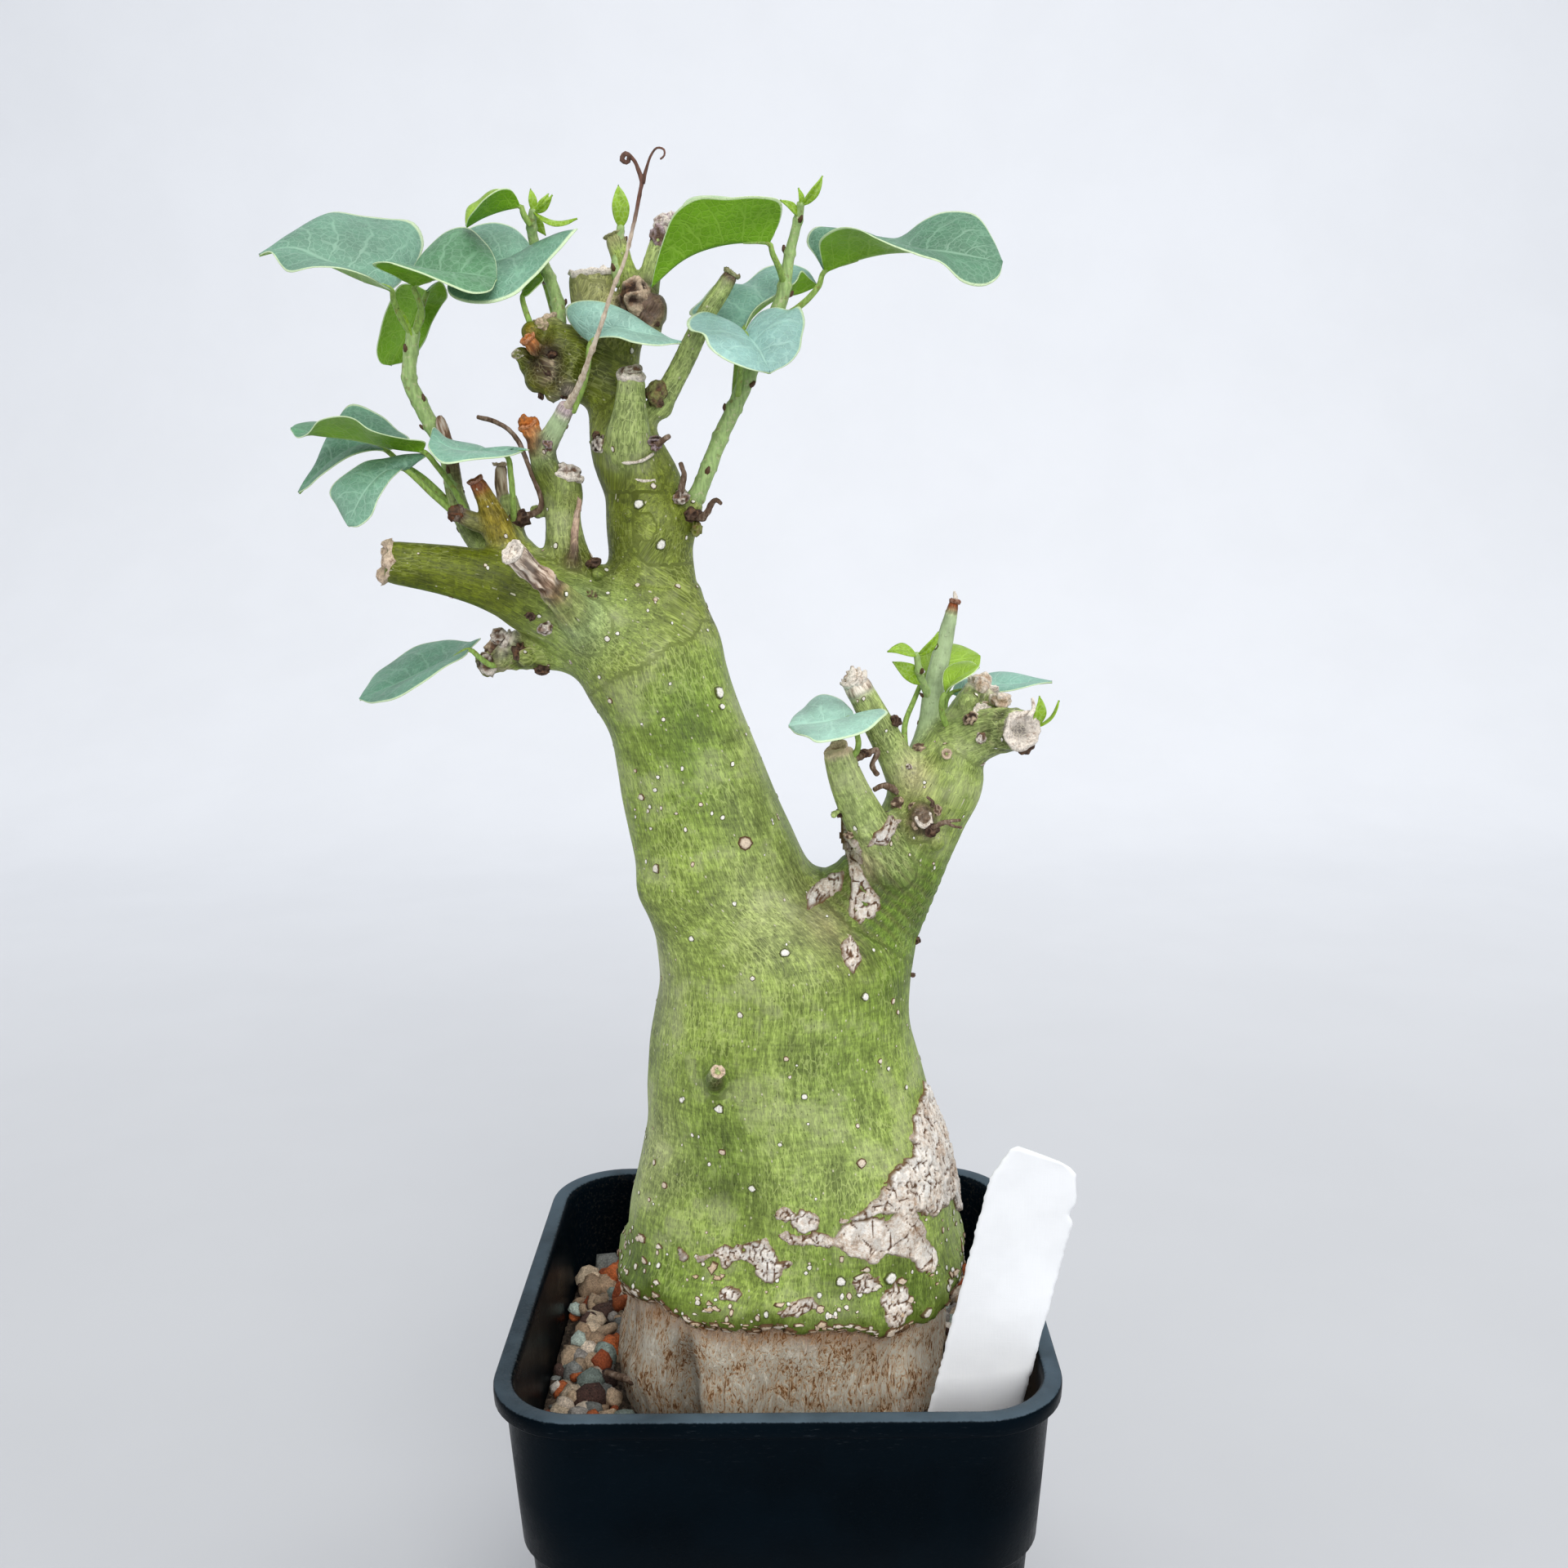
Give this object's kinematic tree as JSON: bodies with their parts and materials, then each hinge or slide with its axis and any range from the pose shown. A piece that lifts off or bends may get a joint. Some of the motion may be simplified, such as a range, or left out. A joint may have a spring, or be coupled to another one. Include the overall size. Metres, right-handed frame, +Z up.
{
  "type": "potted adenia spinosa",
  "caption": "Succulent with a swollen green trunk, cut back limbs and small leafy shoots, standing in grit in a square black plastic pot with a bare white label.",
  "frame": {"origin": "centre of the underside of the pot", "axes": "+Z up, -Y towards the front that the picture shows, +X to the right as seen from the front"},
  "size_m": [0.1401, 0.1, 0.3023],
  "materials": {
    "pot_plastic": "satin black, scuffed",
    "gravel": "matt mixed gravel",
    "bark": "smooth living bark with a waxy sheen",
    "label_plastic": "satin",
    "green_stem": "waxy soft stem",
    "dried_wood": "dry and matt",
    "dark_twig": "dry and matt",
    "leaf": "waxy, blue-green above and yellow-green below",
    "young_leaf": "waxy lime green"
  },
  "bodies": {
    "root": {"pot": "pot_plastic", "grit": "gravel", "caudex": "bark", "label": "label_plastic", "shoot_left": "green_stem", "shoot_mid": "green_stem", "shoot_bud": "green_stem", "shoot_right": "green_stem", "shoot_tuft": "green_stem", "shoot_end": "green_stem", "dried_stem": "dried_wood", "hooked_tendril": "dark_twig", "leaf_left_a": "leaf", "leaf_left_b": "leaf", "leaf_left_c": "leaf", "leaf_mid_a": "leaf", "leaf_mid_b": "young_leaf", "leaf_mid_c": "leaf", "leaf_crown_front": "leaf", "leaf_right_a": "leaf", "leaf_right_b": "leaf", "leaf_right_c": "leaf", "leaf_right_d": "leaf", "leaf_low_a": "leaf", "leaf_low_b": "leaf", "leaf_low_c": "leaf", "leaf_low_d": "leaf", "leaf_under": "leaf", "leaf_limb_a": "leaf", "leaf_limb_b": "young_leaf", "leaf_limb_c": "young_leaf", "leaf_limb_d": "leaf"}
  },
  "joints": []
}
